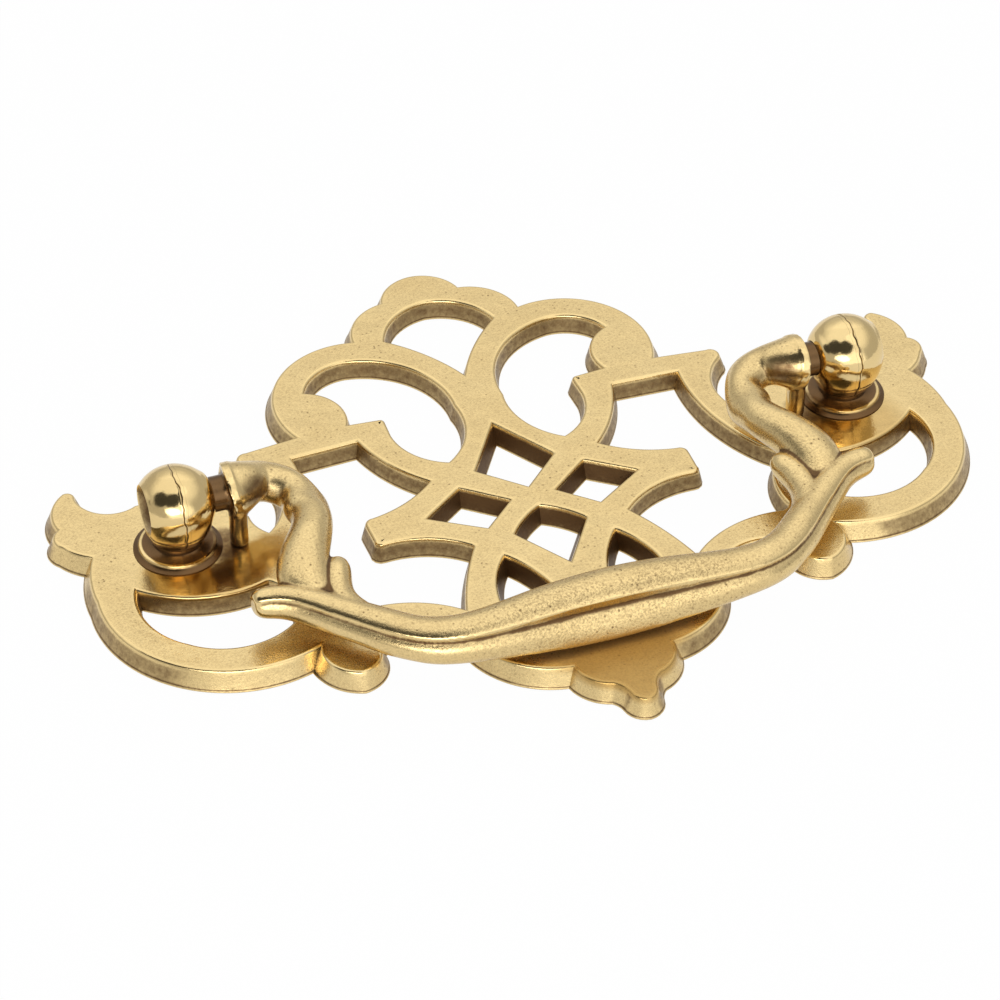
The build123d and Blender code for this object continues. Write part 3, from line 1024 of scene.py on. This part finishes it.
@dataclass
class Bail:
    """Sculpted bail: the solid's form with the soft creases of a hand-finished casting."""

    grain: float = 0.18
    passes: int = 6
    end_x: float = 32.5
    end_radius: float = 3.05
    pin: float = 2.9
    pivot: float = 8.5
    front: float = 2.5
    post_x: float = 38.1
    rim_tilt: Point = (0.05, -0.2)
    rim_inset: float = 0.65
    rim_fill: float = 0.9
    close_look: int = 10
    broad_look: int = 60
    ridge_foot: tuple[Point, Point] = ((0.63, 0.42), (0.47, 0.12))
    parting: tuple[Point, Point] = ((0.62, -0.74), (0.93, -0.95))
    stitches: Point = (0.62, 7.3)
    crease: Point = (0.01, 0.07)
    valley: Point = (0.04, 0.14)
    rubbed: Point = (0.02, 0.06)
    grip: list[tuple[float, ...]] = field(init=False)

    def __post_init__(self) -> None:
        """Lays out the grip's sections, from the middle to the tip of the right leaf."""
        w = self.post_x
        self.grip = [
            (-7.0, -26.65, 3.5, 1, 3.0, 2.9, 0.85),
            (0.0, -26.5, 3.55, 0, 3.2, 3.1, 1.0),
            (7.0, -26.65, 3.5, -1, 3.0, 2.9, 0.85),
            (13.0, -26.85, 3.3, 4, 2.6, 2.6, 0.4),
            (w - 20.1, -26.2, 3.15, 22, 2.4, 2.45, 0.1),
            (w - 16.9, -24.4, 3.15, 40, 2.3, 2.35, 0.0),
            (w - 13.9, -21.7, 3.25, 49, 2.2, 2.25, 0.0),
            (w - 11.0, -19.0, 3.35, 47, 2.0, 2.15, 0.0),
            (w - 8.5, -17.0, 3.5, 34, 1.7, 2.1, 0.0),
            (w - 5.9, -15.7, 3.65, 10, 1.55, 1.9, 0.0),
            (w - 4.4, -15.5, 3.7, -2, 1.4, 1.65, 0.0),
        ]

    def line(self, near: Point, far: Point) -> np.ndarray:
        """Line along the grip through one point of every section.

        Args:
            near: Place in a section with no flare, as shares of its half width and half height.
            far: Place in a section with full flare.

        Returns:
            Points from the middle to the right leaf, in millimetres, close together.
        """
        knots = []
        for x, y, z, heading, half_width, half_height, flare in self.grip:
            u, v = (np.array(near) * (1 - flare) + np.array(far) * flare) * (half_width, half_height)
            turn = radians(heading)
            knots.append((x + u * sin(turn), y - u * cos(turn), self.front + z + v))
        knots = np.array([*knots, 2 * np.array(knots[-1]) - knots[-2]])
        shares = np.linspace(0, 1, 120, endpoint=False)[:, None]
        pieces = []
        for a, b, c, d in zip(knots, knots[1:], knots[2:], knots[3:]):
            bend = (2 * a - 5 * b + 4 * c - d) * shares**2 + (3 * b - a - 3 * c + d) * shares**3
            pieces.append(b + 0.5 * ((c - a) * shares + bend))
        return np.concatenate(pieces)

    def beside(self, places: np.ndarray, line: np.ndarray) -> tuple[np.ndarray, np.ndarray]:
        """Finds how far places lie from a line and where along it.

        Args:
            places: Points in millimetres.
            line: Points along the line, drawn for the right half.

        Returns:
            Distance of each place and its way along the line, in millimetres.
        """
        tree = KDTree(len(line))
        for index, point in enumerate(line):
            tree.insert(point, index)
        tree.balance()
        way = np.concatenate(((0.0,), np.cumsum(np.linalg.norm(np.diff(line, axis=0), axis=1))))
        found = [tree.find((abs(x), y, z))[1:] for x, y, z in places]
        return np.array([gap for _, gap in found]), way[[index for index, _ in found]]

    def marks(self, mesh: bpy.types.Mesh) -> None:
        """Marks the pins with oxide and painted shade, the hollows, painted shade along the line under the
        ridge, and the parting line.

        Args:
            mesh: Softened mesh that takes the marks.
        """
        places = np.array([vertex.co for vertex in mesh.vertices]) / MM
        depth = hollows(mesh, self.close_look)
        broad = hollows(mesh, self.broad_look)
        # Pin ends past each arm's end: oxide and painted shade in the dark recess beside each ball.
        y, z = places[:, 1], places[:, 2] - self.pivot
        face = self.end_x - self.rim_tilt[0] * y - self.rim_tilt[1] * z
        beyond = np.clip((np.abs(places[:, 0]) - face) / 0.3 + 0.5, 0, 1)
        pins = beyond * np.clip((self.pin - np.hypot(y, z)) / 0.5, 0, 1)
        # Painted shade: a dark line on the facet under the ridge, where the rounded ridge mirrors the dark
        # part of the room.
        gap, _ = self.beside(places, self.line(*self.ridge_foot))
        ridge_shade = 0.8 * np.clip(1.15 - gap / 0.3, 0, 1)
        gap, way = self.beside(places, self.line(*self.parting))
        short, long = (np.sin(way * 2 * pi / pitch) for pitch in self.stitches)
        parting = np.clip(1.1 - gap / 0.2, 0, 1) * np.clip(0.55 + 0.6 * short * long, 0, 1)
        looks = ((depth, self.crease), (broad, self.valley), (-depth, self.rubbed))
        creases, valleys, rub = ((found - start) / width for found, (start, width) in looks)
        mark(mesh, np.maximum.reduce((pins, creases, valleys, ridge_shade, parting)), rub)

    def build(self) -> bpy.types.Mesh:
        """Softens a copy of the solid, with the hollow inside each end's rim filled.

        Returns:
            The softened mesh, in metres.
        """
        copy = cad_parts["bail"].data.copy()
        bm = bmesh.new()
        bm.from_mesh(copy)
        bmesh.ops.remove_doubles(bm, verts=bm.verts, dist=0.002 * MM)
        for side in (-1, 1):
            way = Vector((side, *self.rim_tilt)).normalized()
            middle = Vector((side * (self.end_x - self.rim_inset), 0.0, self.pivot + 0.05))
            turned = way.to_track_quat("Z", "Y").to_matrix().to_4x4()
            size = {"radius1": self.end_radius * MM, "radius2": self.end_radius * MM}
            size.update(depth=self.rim_fill * MM, matrix=Matrix.Translation(middle * MM) @ turned)
            bmesh.ops.create_cone(bm, cap_ends=True, segments=96, **size)
        bm.to_mesh(copy)
        bm.free()
        rough = placed("bail_rough", copy)
        remesh = rough.modifiers.new("even_skin", "REMESH")
        remesh.mode = "VOXEL"
        remesh.voxel_size = self.grain * MM
        soften = rough.modifiers.new("rubbed_edges", "SMOOTH")
        soften.factor = 0.5
        soften.iterations = self.passes
        ready = rough.evaluated_get(bpy.context.evaluated_depsgraph_get())
        mesh = bpy.data.meshes.new_from_object(ready)
        bpy.data.objects.remove(rough)
        mesh.name = "bail_casting"
        self.marks(mesh)
        return mesh

    def dress(self, brass: bpy.types.Material) -> bpy.types.Object:
        """Makes the bail stand for its solid, in the given brass."""
        made = piece("bail_casting", self.build(), brass, Carrier.SWING)
        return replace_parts(made, "bail")


@dataclass(frozen=True)
class SoftBox:
    """Soft oval lamp that faces the object, in metres and watts."""

    name: str
    place: Place
    size: Point
    power: float

    def hang(self) -> None:
        """Hangs the lamp in the scene."""
        data = bpy.data.lights.new(self.name, "AREA")
        data.shape = "ELLIPSE"
        data.size, data.size_y = self.size
        data.energy = self.power
        made = placed(self.name, data)
        made.location = self.place
        made.rotation_euler = Vector(self.place).to_track_quat("Z", "Y").to_euler()


@dataclass(frozen=True)
class Patch:
    """Round patch of the room: its direction, the cosines that its edge fades between and its strength."""

    towards: Place
    fade: Point
    strength: float


@dataclass
class Studio:
    """Pale floor, soft lamps and the camera at the photograph's angle.

    The patches of the room are its ceiling, the light in front and two dark patches above the camera,
    each laid over the ones before it.
    """

    aim: Place = (-3.69, -4.339, 2.5)
    distance: float = 384.03
    azimuth: float = -110.358
    elevation: float = 40.569
    roll: float = 0.466
    lens: float = 129.6
    sensor: float = 36.0
    floor_size: float = 3.0
    floor_tone: Colour = (0.86, 0.86, 0.86)
    floor_mirrored: float = 0.6
    floor_seen: float = 0.98
    soft_boxes: tuple[SoftBox, ...] = (
        SoftBox("soft_box_behind", (0.25, 0.75, 0.60), (1.4, 0.9), 0.40),
        SoftBox("soft_box_over", (0.20, -0.15, 0.80), (0.5, 0.5), 0.15),
        SoftBox("soft_box_front", (-0.131, -0.246, 0.112), (0.24, 0.11), 0.16),
    )
    walls: float = 0.56
    patches: tuple[Patch, ...] = (
        Patch((0.0, 0.0, 1.0), (0.36, 0.82), 1.14),
        Patch((0.0, -0.98, 0.18), (0.72, 0.93), 1.5),
        Patch((-0.27, -0.51, 0.82), (0.915, 0.955), 0.06),
        Patch((-0.68, -0.20, 0.71), (0.915, 0.955), 0.06),
    )

    def camera(self) -> None:
        """Sets the camera on its line of sight."""
        turn, lift = radians(self.azimuth), radians(self.elevation)
        back = Vector((cos(lift) * cos(turn), cos(lift) * sin(turn), sin(lift)))
        data = bpy.data.cameras.new("camera")
        data.lens = self.lens
        data.sensor_width = self.sensor
        data.clip_start = 0.01
        made = placed("camera", data)
        facing = back.to_track_quat("Z", "Y").to_matrix() @ Matrix.Rotation(radians(self.roll), 3, "Z")
        place = (Vector(self.aim) + back * self.distance) * MM
        made.matrix_world = Matrix.Translation(place) @ facing.to_4x4()
        bpy.context.scene.camera = made

    def floor(self) -> None:
        """Lays a pale floor that keeps the object's soft shadow."""
        bm = bmesh.new()
        bmesh.ops.create_grid(bm, x_segments=1, y_segments=1, size=self.floor_size)
        mesh = settled(bm, "floor")
        made = placed("floor", mesh)
        pale = bpy.data.materials.new("pale_floor")
        pale.use_nodes = True
        graph = Graph(pale.node_tree)
        graph.tree.nodes.clear()
        matt = graph.node("ShaderNodeBsdfDiffuse", {"Color": self.floor_tone}).outputs[0]
        white = graph.node("ShaderNodeEmission", {}).outputs[0]
        ray = graph.node("ShaderNodeLightPath", {}).outputs
        mirrored = graph.maths("MULTIPLY", ray["Is Glossy Ray"], self.floor_mirrored)
        seen = graph.maths("MULTIPLY", ray["Is Camera Ray"], self.floor_seen)
        lit = graph.maths("ADD", seen, mirrored)
        mix = graph.node("ShaderNodeMixShader", {"Fac": lit, 1: matt, 2: white}).outputs[0]
        graph.node("ShaderNodeOutputMaterial", {"Surface": mix})
        mesh.materials.append(pale)

    def lights(self) -> None:
        """Hangs the soft boxes and lights the room, patch over patch."""
        for box in self.soft_boxes:
            box.hang()
        world = bpy.data.worlds.new("room")
        bpy.context.scene.world = world
        world.use_nodes = True
        graph = Graph(world.node_tree)
        room = graph.tree.nodes["Background"]
        way = graph.node("ShaderNodeTexCoord", {}).outputs["Generated"]
        strength = self.walls
        for patch in self.patches:
            pair = {0: way, 1: Vector(patch.towards).normalized()}
            cosine = graph.node("ShaderNodeVectorMath", pair, operation="DOT_PRODUCT").outputs["Value"]
            strength = graph.ramp(cosine, *patch.fade, strength, patch.strength)
        seen = graph.node("ShaderNodeLightPath", {}).outputs["Is Camera Ray"]
        strength = graph.ramp(seen, 0.0, 1.0, strength, 1.0)
        graph.feed(room, {"Color": (1.0, 1.0, 1.0), "Strength": strength})

    def build(self) -> None:
        """Sets up the whole studio."""
        self.camera()
        self.floor()
        self.lights()
        bpy.context.scene.view_settings.view_transform = "Standard"


def main() -> None:
    """Builds the studio, then each piece in order."""
    logging.basicConfig(level=logging.INFO, format="%(message)s")
    Studio().build()
    effects = [CastPits(), PatinaAndShade(), PolishMarks()]
    satin = BrassFinish("satin_brass", pits=0.8).material(effects)
    bright = BrassFinish("bright_brass", roughness=0.20, pits=0.35).material(effects)
    rubbed = BrassFinish("rubbed_brass", pits=1.15).material(effects)
    parts = [
        Backplate().dress(satin),
        Post("left_post", -1).dress(bright),
        Post("right_post", 1).dress(bright),
        Bail().dress(rubbed),
    ]
    for made in parts:
        LOG.info("%s: %d faces", made.name, len(made.data.polygons))


if __name__ == "__main__":
    main()
